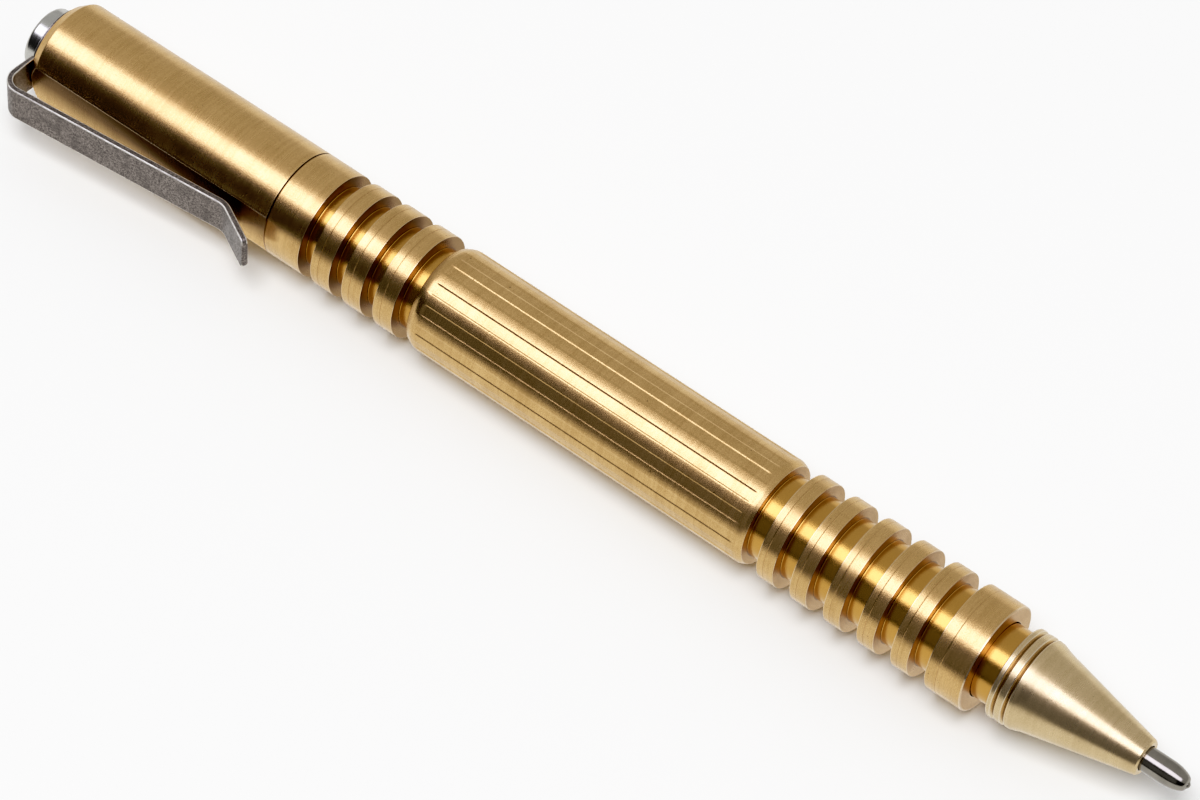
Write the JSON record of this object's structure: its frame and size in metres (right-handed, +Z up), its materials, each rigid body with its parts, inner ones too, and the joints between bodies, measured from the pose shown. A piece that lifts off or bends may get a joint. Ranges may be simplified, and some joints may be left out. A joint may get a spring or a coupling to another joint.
{
  "type": "retractable ballpoint pen",
  "caption": "Retractable ballpoint pen: ringed and fluted brass barrel in two halves, turned nose, bent steel pocket clip, click button, rotor mechanism, refill and spring.",
  "frame": {"origin": "centre of the bottom of the pen's bounding box, with the pen lying level on a surface", "axes": "+X along the pen from the button to the point, +Z up; the clip lies on the -Y side, five degrees above level"},
  "size_m": [0.1358, 0.0143, 0.0111],
  "materials": {
    "brass": "bare turned brass, satin, with fine turning marks",
    "pale_brass": "paler bare turned brass, satin",
    "clip_steel": "bead blasted grey steel with bright edges",
    "steel": "polished steel",
    "refill_steel": "drawn steel tube",
    "point_steel": "polished stainless point",
    "spring_steel": "drawn spring wire",
    "holder_brass": "turned brass",
    "carbide": "ground and lapped ball",
    "plastic": "natural white moulded plastic",
    "rotor_plastic": "black moulded plastic",
    "ink_blue": "blue ink paste",
    "grease": "pale follower grease",
    "rubber": "black nitrile rubber"
  },
  "bodies": {
    "barrel": {"rear_barrel": "brass", "front_barrel": "brass", "nose_cone": "pale_brass", "clip_root": "clip_steel", "retaining_collar": "steel", "mechanism_tube": "steel", "cam_sleeve": "plastic", "joint_o_ring": "rubber", "return_spring": "spring_steel"},
    "clip": {"clip_arm": "clip_steel"},
    "button": {"push_button": "steel", "plunger": "plastic"},
    "refill": {"refill_plug": "plastic", "refill_tube": "refill_steel", "tip_holder": "holder_brass", "ink_column": "ink_blue", "ink_follower": "grease", "refill_point": "point_steel"},
    "rotor": {"rotor": "rotor_plastic"},
    "ball": {"point_ball": "carbide"}
  },
  "joints": [
    {"name": "tip_slide", "type": "slide", "parent": "barrel", "child": "refill", "axis": [-1, 0, 0], "range_m": [-0.001, 0.0055], "deforming": ["return_spring"]},
    {"name": "button_slide", "type": "slide", "parent": "barrel", "child": "button", "axis": [-1, 0, 0], "range_m": [-0.001, 0.0055]},
    {"name": "rotor_spin", "type": "hinge", "parent": "refill", "child": "rotor", "pos_m": [-0.0375, 0.00162, 0.00556], "axis": [1, 0, 0], "continuous": true},
    {"name": "ball_roll", "type": "hinge", "parent": "refill", "child": "ball", "pos_m": [0.06753, 0.00162, 0.00556], "axis": [1, 0, 0], "continuous": true},
    {"name": "clip_flex", "type": "hinge", "parent": "barrel", "child": "clip", "pos_m": [-0.06605, -0.0049, 0.00613], "axis": [0, -0.0872, -0.9962], "range_deg": [0, 5], "stiffness_Nm_per_rad": 1.5}
  ],
  "couplings": [
    {"joint": "button_slide", "follows": "tip_slide", "ratio": 1}
  ]
}
